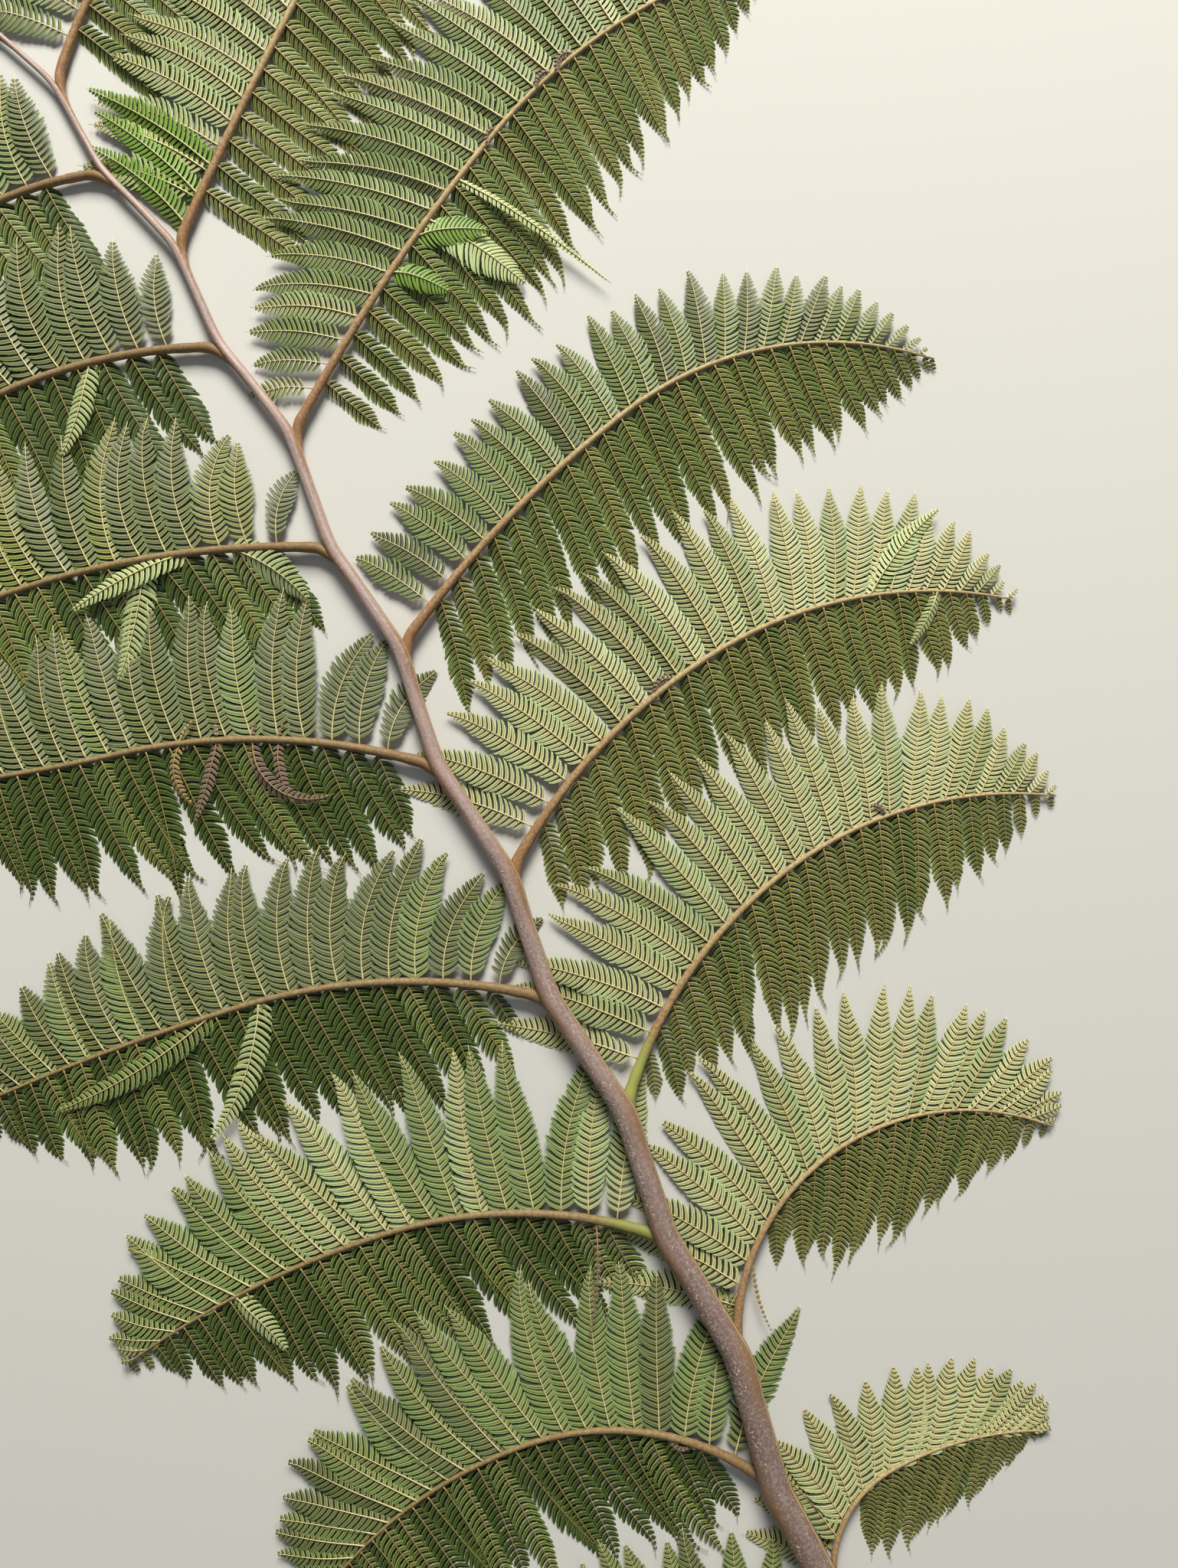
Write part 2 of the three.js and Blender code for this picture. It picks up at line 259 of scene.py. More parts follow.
def start_material(name):
    """A new material, the function that adds a node to it, and its Principled shader."""
    material = bpy.data.materials.new(name)
    material.use_nodes = True
    tree = material.node_tree
    return material, partial(add_node, tree), tree.nodes["Principled BSDF"]


def make_piece(name, corners, faces, uv=None, materials=(), finish=None, marks=None):
    """A smooth mesh piece from corners in millimetres and triangles. uv has a place for each triangle's
    corner, finish a material's number for each triangle, and each mark a value for each corner."""
    mesh = bpy.data.meshes.new(name)
    faces = np.asarray(faces, np.int32)
    mesh.vertices.add(len(corners))
    mesh.vertices.foreach_set("co", (np.asarray(corners) / MM_PER_METRE + CUT).astype(np.float32).ravel())
    mesh.loops.add(faces.size)
    mesh.loops.foreach_set("vertex_index", faces.ravel())
    mesh.polygons.add(len(faces))
    mesh.polygons.foreach_set("loop_start", np.arange(0, faces.size, 3, dtype=np.int32))
    mesh.polygons.foreach_set("use_smooth", np.ones(len(faces), bool))
    for material in materials:
        mesh.materials.append(material)
    if finish is not None:
        mesh.polygons.foreach_set("material_index", np.asarray(finish, np.int32))
    if uv is not None:
        mesh.uv_layers.new(name=SURFACE_MAP).uv.foreach_set("vector", np.asarray(uv, np.float32).ravel())
    for mark, values in (marks or {}).items():
        attribute = mesh.attributes.new(mark, "FLOAT", "POINT")
        attribute.data.foreach_set("value", np.asarray(values, np.float32))
    mesh.update()
    mesh.validate()
    piece = bpy.data.objects.new(name, mesh)
    bpy.context.scene.collection.objects.link(piece)
    return piece


def make_tube(middles, headings, radii, sides, lengths):
    """A closed tube of upright rings, with UV of its share round and its millimetres along."""
    angles = 2 * math.pi * (np.arange(sides) + 0.5) / sides
    left = ahead(np.asarray(headings) + 90)
    radii = np.asarray(radii)
    if radii.ndim == 1:
        radii = np.repeat(radii[:, None], sides, 1)
    flat = middles[:, None, :2] - left[:, None] * (radii * np.sin(angles))[..., None]
    height = middles[:, None, 2] - radii * np.cos(angles)
    corners = np.concatenate([flat, height[..., None]], -1).reshape(-1, 3)
    ring, place = np.meshgrid(np.arange(len(middles) - 1), np.arange(sides), indexing="ij")
    a = (ring * sides + place).ravel()
    b = (ring * sides + (place + 1) % sides).ravel()
    faces = np.concatenate([np.stack([a, a + sides, b + sides], -1), np.stack([a, b + sides, b], -1)])
    near = (place.ravel() + 0.5) / sides
    far = near + 1 / sides
    low = np.asarray(lengths)[ring.ravel()]
    high = np.asarray(lengths)[ring.ravel() + 1]
    four = [np.stack([u, v], -1) for u, v in ((near, low), (near, high), (far, high), (far, low))]
    uv = np.concatenate([np.stack([four[0], four[1], four[2]], 1), np.stack([four[0], four[2], four[3]], 1)])
    ends = np.array([middles[0], middles[-1]])
    last = (len(middles) - 1) * sides
    count = len(corners)
    ring = np.arange(sides)
    turn = (ring + 1) % sides
    caps = np.concatenate([
        np.stack([np.full(sides, count), ring, turn], -1),
        np.stack([np.full(sides, count + 1), last + turn, last + ring], -1),
    ])
    cap_uv = np.zeros((2 * sides, 3, 2))
    cap_uv[:sides, :, 1] = lengths[0]
    cap_uv[sides:, :, 1] = lengths[-1]
    return np.concatenate([corners, ends]), np.concatenate([faces, caps]), np.concatenate([uv, cap_uv])


rings = np.arange(0, RACHIS_LENGTH + 0.1, RACHIS_RING)
kernel = np.exp(-0.5 * (np.arange(-SMOOTHED_STEPS, SMOOTHED_STEPS + 1) / SMOOTHING) ** 2)
kernel /= kernel.sum()
reach = (SMOOTHED_STEPS, SMOOTHED_STEPS)
padded = np.pad(walk_at, (reach, (0, 0)), mode="reflect", reflect_type="odd")
smooth_at = np.stack([np.convolve(padded[:, i], kernel, "valid") for i in (0, 1)], -1)
padded = np.pad(walk_heading, reach, mode="edge")
smooth_heading = np.convolve(padded, kernel, "valid")
smooth_heading[0] = UPWARD
rachis_middles = np.column_stack([along_line(rings, walk_s, smooth_at), rachis_height(rings)])
rachis_headings = np.interp(rings, walk_s, smooth_heading)
rachis_angles = 2 * math.pi * (np.arange(RACHIS_SIDES) + 0.5) / RACHIS_SIDES
shape = np.repeat(rachis_radius(rings)[:, None], RACHIS_SIDES, 1)
scurf = np.zeros_like(shape)
toward = np.sin(rachis_angles)[None, :]
for costa in costae:
    near = np.exp(-((rings - costa.s + SWELLING_BELOW) / SWELLING_LENGTH) ** 2)[:, None]
    shape *= 1 + SWELLING * near * np.clip(SWELLING_FACE - costa.side * toward, 0, 1)
    near = np.exp(-((rings - costa.s + SCURF_BELOW) / SCURF_LENGTH) ** 2)[:, None]
    scurf = np.maximum(scurf, near * np.clip(SCURF_FACE - costa.side * toward * SCURF_GAIN, 0, 1))
for i, s in enumerate(rings):
    weight = WAVE * min(1, rachis_radius(s) / FULL_WAVE_RADIUS)
    for j, angle in enumerate(rachis_angles):
        x = math.sin(angle)
        y = math.cos(angle)
        wave = noise.noise(Vector((x * WAVE_ROUND, y * WAVE_ROUND, s / WAVE_LENGTH)))
        ripple = noise.noise(Vector((x * RIPPLE_ROUND, y * RIPPLE_ROUND, s / RIPPLE_LENGTH)))
        shape[i, j] += weight * (wave + RIPPLE * ripple)
corners, faces, uv = make_tube(rachis_middles, rachis_headings, shape, RACHIS_SIDES, rings)
corners[:, 2] = np.maximum(corners[:, 2], 0)
scurf_mark = np.concatenate([scurf.ravel(), [0, 0]])

# Fern stem skin: a dull, faintly waxy epidermis. It gives purple-brown with dark streaks 33 mm long, darker
# towards the foot, orange-brown scurf on the right flank and round the branches, a pale line along that
# flank, and fine pale specks. Scales are per metre, so grains of 2.4 mm have 420.
STREAKS_ROUND = 22
STREAKS_PER_MM = 0.03
BLOTCHES = 55.0
MOTTLING = 520.0
GRAINS = 420.0
SPECKS = 380.0
PALE_LINE_AT = 0.305
material, node, skin = start_material("fern_stem_skin")
surface = node("UVMap", uv_map=SURFACE_MAP)
axes = node("SeparateXYZ", [surface])
share_round = axes.outputs["X"]
mm_along = axes.outputs["Y"]
spot = node("TexCoord").outputs["Object"]
stretch = node("Mapping", {"Vector": surface, "Scale": (STREAKS_ROUND, STREAKS_PER_MM, 1)})
streaks = node("TexNoise", {"Vector": stretch, "Scale": 1.0, "Detail": 4.0})
streak = node("MapRange", {"Value": streaks, "From Min": 0.38, "From Max": 0.66})
blotches = node("TexNoise", {"Vector": spot, "Scale": BLOTCHES, "Detail": 3.0})
blotch = node("MapRange", {"Value": blotches, "From Min": 0.35, "From Max": 0.7})
purple = node("Mix", {"Factor": streak, UNDER: "#83706e", OVER: "#b7a09b"}, data_type="RGBA")
worn = node("Mix", {"Factor": blotch, UNDER: purple, OVER: "#a8928a"}, data_type="RGBA")
# Darker towards the foot.
low_down = node("MapRange", {
    "Value": mm_along, "From Min": 330, "From Max": 1000, "To Min": 0.72, "To Max": 0.0,
})
darker_low = node("Mix", {"Factor": low_down, UNDER: worn, OVER: "#58463f"}, data_type="RGBA")
fine = node("TexNoise", {"Vector": spot, "Scale": MOTTLING, "Detail": 3.0})
mottle = node("MapRange", {"Value": fine, "From Min": 0.46, "From Max": 0.6, "To Max": 0.28})
mottled = node("Mix", {"Factor": mottle, UNDER: darker_low, OVER: "#c0a8a2"}, data_type="RGBA")
flank = node("MapRange", {"Value": share_round, "From Min": 0.4, "From Max": 0.28, "To Max": 0.7})
mark = node("Attribute", attribute_name="scurf").outputs["Fac"]
either = node("Math", [flank, mark], operation="MAXIMUM")
grains = node("TexNoise", {"Vector": spot, "Scale": GRAINS, "Detail": 2.0})
broken = node("MapRange", {"Value": grains, "From Min": 0.32, "From Max": 0.6, "To Min": 0.45})
dusted = node("Math", [either, broken], operation="MULTIPLY")
rusty = node("Mix", {"Factor": dusted, UNDER: mottled, OVER: "#83603c"}, data_type="RGBA")
specks = node("TexVoronoi", {"Vector": spot, "Scale": SPECKS})
speck = node("MapRange", {"Value": specks, "From Min": 0.16, "From Max": 0.1, "To Max": 0.55})
flecked = node("Mix", {"Factor": speck, UNDER: rusty, OVER: "#cbb5a4"}, data_type="RGBA")
off_line = node("Math", [share_round, PALE_LINE_AT], operation="SUBTRACT")
beside = node("Math", [off_line], operation="ABSOLUTE")
line = node("MapRange", {
    "Value": beside, "From Min": 0.008, "From Max": 0.016, "To Min": 0.75, "To Max": 0.0,
})
lined = node("Mix", {"Factor": line, UNDER: flecked, OVER: "#c4ac6e"}, data_type="RGBA")
bumps = node("Bump", {"Height": grains, "Strength": 0.25, "Distance": 0.0006})
connect(skin, {"Base Color": lined, "Roughness": 0.5, "Specular IOR Level": 0.45, "Normal": bumps})

rachis_stem = make_piece("rachis_stem", corners, faces, uv, [material], marks={"scurf": scurf_mark})
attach(rachis_stem, "root")
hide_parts("rachis")

# The pale flecks are thin corky spots that stand a little proud of the stem, long ways up it.
# They crowd on its left flank. Each is a low dome of eight faces.
FLECKS = 2600
FLECK_SIDES = 8
FLECK_LENGTH = 1.5
FLECK_WIDTH = 0.62
FLECK_HEIGHT = 0.16
FLECK_GRADES = (0.5, 1.15)
FLECKS_UNTIL = 0.97
FLECK_CROWDING = 1.25
ON_FLANK = 0.68
FLANK_TURN = 0.55
FLANK_SPREAD = 0.28
WIDEST_TURN = 1.2
FULL_FLECK_RADIUS = 7
LEAST_FLECK = 0.3
RIM_SUNK = 0.06
CROWN_SUNK = 0.04
rng = np.random.default_rng(11)
where = RACHIS_LENGTH * FLECKS_UNTIL * rng.random(FLECKS) ** FLECK_CROWDING
turn = np.where(
    rng.random(FLECKS) < ON_FLANK,
    rng.normal(FLANK_TURN, FLANK_SPREAD, FLECKS),
    rng.uniform(-WIDEST_TURN, WIDEST_TURN, FLECKS),
)
grade = rng.uniform(*FLECK_GRADES, FLECKS)
fade = np.clip(rachis_radius(where) / FULL_FLECK_RADIUS, LEAST_FLECK, 1)
fleck_middles = along_line(where, rings, rachis_middles)
fleck_heading = np.interp(where, rings, rachis_headings)
along = np.concatenate([ahead(fleck_heading), np.zeros((FLECKS, 1))], -1)
left = np.concatenate([ahead(fleck_heading + 90), np.zeros((FLECKS, 1))], -1)
up = np.array([0, 0, 1.0])
outward = left * np.sin(turn)[:, None] + up * np.cos(turn)[:, None]
round_way = left * np.cos(turn)[:, None] - up * np.sin(turn)[:, None]
share = np.mod(math.pi - turn, 2 * math.pi) / (2 * math.pi)
column = np.clip((share * RACHIS_SIDES - 0.5).round().astype(int), 0, RACHIS_SIDES - 1)
skin_radius = shape[np.clip((where / RACHIS_RING).round().astype(int), 0, len(rings) - 1), column]
seat = fleck_middles + outward * (skin_radius - RIM_SUNK)[:, None]
corners = []
for i in range(FLECK_SIDES):
    angle = 2 * math.pi * i / FLECK_SIDES
    corners.append(seat + along * (math.cos(angle) * FLECK_LENGTH / 2 * grade * fade)[:, None]
                   + round_way * (math.sin(angle) * FLECK_WIDTH / 2 * grade * fade)[:, None])
corners.append(seat + outward * (FLECK_HEIGHT * grade * fade + CROWN_SUNK)[:, None])
corners = np.stack(corners, 1).reshape(-1, 3)
rim = np.arange(FLECK_SIDES)
fan = np.stack([np.full(FLECK_SIDES, FLECK_SIDES), (rim + 1) % FLECK_SIDES, rim], -1)
faces = (np.arange(FLECKS)[:, None, None] * (FLECK_SIDES + 1) + fan[None]).reshape(-1, 3)
# Cork fleck: dry pale tissue, matt, in tones that change every 3 mm.
material, node, skin = start_material("cork_fleck")
spot = node("TexCoord").outputs["Object"]
tone = node("TexNoise", {"Vector": spot, "Scale": 300.0})
pale = node("Mix", {"Factor": tone, UNDER: "#b79c86", OVER: "#dccbb8"}, data_type="RGBA")
connect(skin, {"Base Color": pale, "Roughness": 0.7})
rachis_flecks = make_piece("rachis_flecks", corners, faces, materials=[material])
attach(rachis_flecks, "root")

# The costae are the stems of the pinnae. Each runs a little way down the rachis before it joins.
# They are orange-brown and scurfy at the foot and tan further out, and the left ones are darkened with
# painted shade.
# Two are still yellow-green at the foot.
COSTA_SIDES = 10
COSTA_RING = 5
FOOT_RINGS = 14
RUN_DOWN = 24
FREE_AT = 14
LOW_INSET = 0.72
LOW_SEAT = 0.25
LEAVING = 0.42
ARRIVING = 0.36
FOOT_START = 0.25
FOOT_GROWTH = 1.15
FLARE = (0.62, 0.1)
FLARE_FALL = 1.4
FLARE_LENGTH = 26
KNOT = 0.05
KNOT_TURN = 0.42
DUST_LOSS = 1.7
LEAST_DUST = {1: 0.6, -1: 0.25}
GREEN_FEET = {4: 46, 5: 50}
NOT_GREEN = -20
GREEN_FADE = 25
# The share of painted shade on each side's costae: the left ones are darkened as if in shade.
SHADE = {1: 0.42, -1: 0.0}


def ease(share):
    share = np.clip(share, 0, 1)
    return share * share * (3 - 2 * share)


def steps_along(flat):
    """The step to each point of a line from the one before it, and the headings of the steps."""
    steps = np.diff(flat, axis=0, prepend=flat[:1] * 2 - flat[1:2])
    return steps, np.degrees(np.unwrap(np.arctan2(steps[:, 1], steps[:, 0])))


def join(parts):
    """One run of corners, triangles and UV out of several."""
    offsets = np.cumsum([0] + [len(part[0]) for part in parts])
    corners = np.concatenate([part[0] for part in parts])
    faces = np.concatenate([part[1] + offset for part, offset in zip(parts, offsets)])
    return corners, faces, np.concatenate([part[2] for part in parts])


tubes = []
marks = {"scurf": [], "green": [], "shade": []}
for costa in costae:
    run_down = RUN_DOWN * costa.size
    low, low_heading = rachis_at(costa.s - run_down)
    low_radius = rachis_radius(costa.s - run_down)
    low = low + ahead(low_heading + 90 * costa.side, low_radius * LOW_INSET)
    free = FREE_AT * costa.size / costa.length
    join_at = costa.at(free)
    span = np.linalg.norm(join_at - low)
    q = np.linspace(0, 1, FOOT_RINGS)[:-1, None]
    p1 = low + ahead(low_heading, span * LEAVING)
    p2 = join_at - ahead(costa.heading_at(free), span * ARRIVING)
    curve = (1 - q) ** 3 * low + 3 * (1 - q) ** 2 * q * p1 + 3 * (1 - q) * q ** 2 * p2 + q ** 3 * join_at
    t = np.linspace(free, 1, int(costa.length / COSTA_RING))
    flat = np.concatenate([curve, costa.at(t)])
    steps, headings = steps_along(flat)
    low_z = rachis_height(costa.s - run_down) - LOW_SEAT * low_radius
    high = np.concatenate([lerp(low_z, float(costa.height_at(free)), ease(q[:, 0])), costa.height_at(t)])
    walked = np.cumsum(np.linalg.norm(steps, axis=1))
    lengths = walked - span
    flare = lerp(*FLARE, min(costa.s / RACHIS_LENGTH * FLARE_FALL, 1))
    inner = lerp(FOOT_START, 1 + flare, ease(q[:, 0] * FOOT_GROWTH)) * float(costa.radius_at(0))
    outer = costa.radius_at(t) * (1 + flare * np.exp(-(t - free) * costa.length / FLARE_LENGTH))
    radii = np.concatenate([inner, outer]) * (1 + KNOT * np.sin(walked * KNOT_TURN + costa.k))
    tubes.append(make_tube(np.column_stack([flat, high]), headings, radii, COSTA_SIDES, lengths))
    share = np.concatenate([np.zeros(len(q)), t])
    dust = np.clip(1 - share * DUST_LOSS, LEAST_DUST[costa.side], 1)
    green = np.clip((GREEN_FEET.get(costa.k, NOT_GREEN) - lengths) / GREEN_FADE, 0, 1)
    marks["scurf"].append(np.concatenate([np.repeat(dust, COSTA_SIDES), [1, dust[-1]]]))
    marks["green"].append(np.concatenate([np.repeat(green, COSTA_SIDES), [green[0], green[-1]]]))
    marks["shade"].append(np.full(len(tubes[-1][0]), SHADE[costa.side]))

# Costa skin: the same skin as the stem's, under a felt of orange-brown hairs that thins outward. The felt is
# broken into grains of about 2 mm, and the left costae are darkened olive-brown all over with painted shade.
material, node, skin = start_material("costa_scurf")
spot = node("TexCoord").outputs["Object"]
mark = node("Attribute", attribute_name="scurf").outputs["Fac"]
young = node("Attribute", attribute_name="green").outputs["Fac"]
shade = node("Attribute", attribute_name="shade").outputs["Fac"]
grains = node("TexNoise", {"Vector": spot, "Scale": 480.0, "Detail": 3.0})
broken = node("MapRange", {
    "Value": grains, "From Min": 0.35, "From Max": 0.62, "To Min": -0.25, "To Max": 0.3,
})
dusted = node("Math", [mark, broken], operation="ADD", use_clamp=True)
rusty = node("Mix", {"Factor": dusted, UNDER: "#b5a375", OVER: "#8c6645"}, data_type="RGBA")
fresh = node("Mix", {"Factor": young, UNDER: rusty, OVER: "#969a4e"}, data_type="RGBA")
# Painted shade: the left costae are darkened towards olive-brown.
left_shaded = node("Mix", {"Factor": shade, UNDER: fresh, OVER: "#56512a"}, data_type="RGBA")
bumps = node("Bump", {"Height": grains, "Strength": 0.3, "Distance": 0.0004})
connect(skin, {"Base Color": left_shaded, "Roughness": 0.6, "Specular IOR Level": 0.35, "Normal": bumps})
marks = {name: np.concatenate(values) for name, values in marks.items()}
costa_stems = make_piece("costa_stems", *join(tubes), [material], marks=marks)
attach(costa_stems, "root")

# The leaflets hang off the costae in two rows. Each line is the path of one leaflet's midrib.
# The upper row fans out over the lower row of the pinna above, and the lower row hangs as a curtain.
# The first upper leaflets of each pinna pass under the rachis.
# In the pairs below, True is for the upper row, and 1 is for the pinnae on the left.
LOWER_LEAFLET = 105
LEAFLET_SHARE = 0.34
LEAFLET_GAP = 19.5
LEAFLET_GAP_LOSS = 9.5
FIRST_LEAFLET = 26
LAST_LEAFLET = 5
LOWER_STAGGER = 0.4
LAST_SHARE = 0.995
LEAFLET_SWAY = {1: 12, -1: 7}
BEND_SWAY = {1: 30, -1: 12}
LENGTH_SWAY = 0.12
LIFT_SWAY = 0.9
OUTER_LOSS = 38
TIP_LOSS = 22
TIP_LOSS_POWER = 6
LEAST_ANGLE = 42
STEEPEST_ANGLE = 152
SHORTENED_FROM = 125
SHORTENED_UNTIL = 167
LOWER_TURNED = 0.75
GROWING_UNTIL = {1: 0.22, -1: 0.38}
SHORTENING_POWER = 5
LEAST_GROWN = 0.1
HOOK_SWAY = {True: 34, False: 95}
HOOK_FROM = 0.8
HOOK_SHARE = 0.2
RACHIS_ROOM = 2
UPPER_ROOM = 26
LOWER_ROOM = 5
SHORTEST_LEAFLET = 8
LINE_STEPS = 48
UPPER_LEVEL = (6.4, 4.9)
LOWER_LEVEL = (2.9, 1.6)
LEVEL_AT = 0.45
SINKS_FROM = 0.4
SINKS_OVER = 0.6
UNDER_REACH = 0.3
UNDER_GAP = 1.3
UNDER_WIDTH = 7
UNDER_HEIGHTS = (0.9, 2.0)
UNDER_SMOOTHING = 5
BROADER = 1.2
FIRST_BROADER = 1.15
# Which draw of chance each property of a leaflet has
SWAY_DRAW = {True: 1, False: 2}
LENGTH_DRAW = {True: 3, False: 4}
HOOK_DRAW = 5
BEND_DRAW = 6
LIFT_DRAW = 7
CHANCE_A = 12.9898
CHANCE_B = 78.233
CHANCE_C = 37.719
CHANCE_SPREAD = 43758.5453


def chance(a, b, c):
    """A number from 0 to 1 that looks random and is always the same for the same three numbers."""
    value = math.sin(a * CHANCE_A + b * CHANCE_B + c * CHANCE_C) * CHANCE_SPREAD
    return value - math.floor(value)


def leaflet_line(costa, t, number, upper):
    """The middle line of one leaflet in plan and height, or None where there is no room for it."""
    k, side, size = costa.k, costa.side, costa.size
    heading = float(costa.heading_at(t))
    sway = (chance(k, number, SWAY_DRAW[upper]) - 0.5) * LEAFLET_SWAY[side]
    share = 1
    if upper:
        angle = costa.first_angle - OUTER_LOSS * t - TIP_LOSS * t ** TIP_LOSS_POWER + sway
        start = heading - side * (angle - costa.curl * (1 - t))
        end = heading - side * (angle + costa.curl * (1 - t))
    else:
        turned = ((lerp(*costa.lower, t) + sway - heading) * side) % 360
        angle = max(turned - 360 if turned > 270 else turned, LEAST_ANGLE)
        if angle > STEEPEST_ANGLE:
            return None
        share = min(max((SHORTENED_UNTIL - angle) / (SHORTENED_UNTIL - SHORTENED_FROM), 0), 1)
        start = heading + side * lerp(90, angle, LOWER_TURNED)
        end = heading + side * angle
    full = min(costa.longest if upper else LOWER_LEAFLET, LEAFLET_SHARE * costa.length)
    first_share = lerp(costa.foot_share, 1, min(t / GROWING_UNTIL[side], 1))
    length = full * share * first_share * max(LEAST_GROWN, 1 - t ** SHORTENING_POWER)
    length *= 1 + LENGTH_SWAY * (chance(k, number, LENGTH_DRAW[upper]) - 0.5)
    q = (np.arange(LINE_STEPS) + 0.5) / LINE_STEPS
    hook = (chance(k, number, HOOK_DRAW) - 0.5) * HOOK_SWAY[upper]
    bend = BEND_SWAY[side] * (chance(k, number, BEND_DRAW) - 0.5)
    turns = lerp(start, end, q) + hook * ease((q - HOOK_FROM) / HOOK_SHARE) + bend * q
    flat = walk_from(costa.at(t), turns, length)
    gaps = np.linalg.norm(flat[:, None] - walk_at[None], axis=2)
    nearest = gaps.argmin(1)
    from_rachis = gaps.min(1) - rachis_radius(walk_s[nearest])
    passes_under = upper and t < UNDER_REACH
    blocked = np.zeros(len(flat), bool)
    if not passes_under:
        blocked |= from_rachis < RACHIS_ROOM
    other = k + (2 if upper else -2)
    if 0 <= other < PINNAE:
        room = UPPER_ROOM * size if upper else LOWER_ROOM
        blocked |= np.linalg.norm(flat[:, None] - costae[other].points[None], axis=2).min(1) < room
    blocked[0] = False
    last = int(blocked.argmax()) - 1 if blocked.any() else LINE_STEPS
    if last < 2 or length * last / LINE_STEPS < SHORTEST_LEAFLET * size:
        return None
    flat = flat[:last + 1]
    q = np.linspace(0, 1, last + 1)
    foot = float(costa.height_at(t))
    middle, tip = UPPER_LEVEL if upper else LOWER_LEVEL
    lift = (chance(k, number, LIFT_DRAW) - 0.5) * LIFT_SWAY
    high = lerp(foot, middle * size + lift, ease(q / LEVEL_AT))
    high = high + (tip - middle) * size * ease((q - SINKS_FROM) / SINKS_OVER)
    if passes_under:
        beneath = from_rachis[:last + 1] < UNDER_WIDTH
        lowest, highest = UNDER_HEIGHTS
        under = rachis_bottom(walk_s[nearest[:last + 1]]) - UNDER_GAP
        high = np.where(beneath, np.minimum(high, under), high)
        high = np.where(np.cumsum(beneath) > 0, np.minimum(high, highest), high)
        window = 2 * UNDER_SMOOTHING + 1
        soft = np.pad(high, UNDER_SMOOTHING, mode="edge")
        high = np.maximum(np.convolve(soft, np.ones(window) / window, "valid"), lowest)
    return SimpleNamespace(
        k=k, side=side, upper=upper, t=t, number=number, length=length * last / LINE_STEPS, full=length,
        at=np.column_stack([flat, high]), headings=steps_along(flat)[1], size=size, under=passes_under,
        broad=BROADER if side > 0 else lerp(FIRST_BROADER, 1, min(t / UNDER_REACH, 1)), dry=False,
    )


leaflets = []
for costa in costae:
    distance = FIRST_LEAFLET * costa.size
    number = 1
    while distance < costa.length - LAST_LEAFLET * costa.size:
        gap = (LEAFLET_GAP - LEAFLET_GAP_LOSS * distance / costa.length) * costa.size
        for upper in (True, False):
            stagger = 0 if upper else LOWER_STAGGER * gap
            t = min((distance + gap / 2 + stagger) / costa.length, LAST_SHARE)
            line = leaflet_line(costa, t, number, upper)
            if line:
                leaflets.append(line)
        distance += gap
        number += 1

# The midribs of the leaflets, thin round cords that stand proud of the blade.
# They are orange-brown where they join the costa, over a small swollen joint, and pale yellow outward.
MIDRIB_SIDES = 4
MIDRIB_RINGS = 12
RING_CROWDING = 1.25
MIDRIB_FOOT = {True: 0.68, False: 0.52}
MIDRIB_TIP = 0.2
MIDRIB_TAPER = 0.6
FULL_MIDRIB_LENGTH = 80
JOINT_GAIN = 0.7
JOINT_LENGTH = 2.2
MIDRIB_PROUD = 0.25
MIDRIB_CLEAR = 0.1
BROWN_UNTIL = 0.3
BROWN_LOSS = 11


def midrib_tube(line):
    size = line.size * min(1, line.full / FULL_MIDRIB_LENGTH) ** 0.5
    q = np.linspace(0, 1, MIDRIB_RINGS) ** RING_CROWDING
    source = np.linspace(0, 1, len(line.at))
    middles = along_line(q, source, line.at)
    along = q * line.length
    radii = lerp(MIDRIB_FOOT[line.upper], MIDRIB_TIP, q ** MIDRIB_TAPER) * size
    radii = radii * (1 + JOINT_GAIN * np.exp(-along / JOINT_LENGTH))
    middles[:, 2] = np.maximum(middles[:, 2] + MIDRIB_PROUD, radii + MIDRIB_CLEAR)
    less_brown = BROWN_LOSS * min(line.t / BROWN_UNTIL, 1)
    return make_tube(middles, np.interp(q, source, line.headings), radii, MIDRIB_SIDES, along + less_brown)


# Leaflet midrib skin: waxy and pale, with a short orange-brown foot, and browner in the lower row. Its tone
# changes every 17 mm or so.
material, node, skin = start_material("leaflet_midrib")
surface = node("UVMap", uv_map=SURFACE_MAP)
mm_along = node("SeparateXYZ", [surface]).outputs["Y"]
spot = node("TexCoord").outputs["Object"]
browner = node("Attribute", attribute_name="brown").outputs["Fac"]
grains = node("TexNoise", {"Vector": spot, "Scale": 60.0})
foot = node("MapRange", {"Value": mm_along, "From Min": 3.0, "From Max": 16.0, "To Min": 1.0, "To Max": 0.0})
tone = node("Mix", {"Factor": grains, UNDER: "#c6bf84", OVER: "#d4d09c"}, data_type="RGBA")
buff = node("Mix", {"Factor": browner, UNDER: tone, OVER: "#9a8750"}, data_type="RGBA")
brown = node("Mix", {"Factor": foot, UNDER: buff, OVER: "#8f6a3c"}, data_type="RGBA")
connect(skin, {"Base Color": brown, "Roughness": 0.5})
midrib_skin = material


def make_midribs(name, lines):
    """One piece of midribs for all these lines, with a brown mark on lower and dry leaflets."""
    tubes = [midrib_tube(line) for line in lines]
    brown_mark = [
        np.full(len(tube[0]), float(line.dry or not line.upper)) for tube, line in zip(tubes, lines)
    ]
    marks = {"brown": np.concatenate(brown_mark)}
    midribs = make_piece(name, *join(tubes), [midrib_skin], marks=marks)
    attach(midribs, "root")


make_midribs("midribs_left", [line for line in leaflets if line.side > 0])
make_midribs("midribs_right", [line for line in leaflets if line.side < 0])

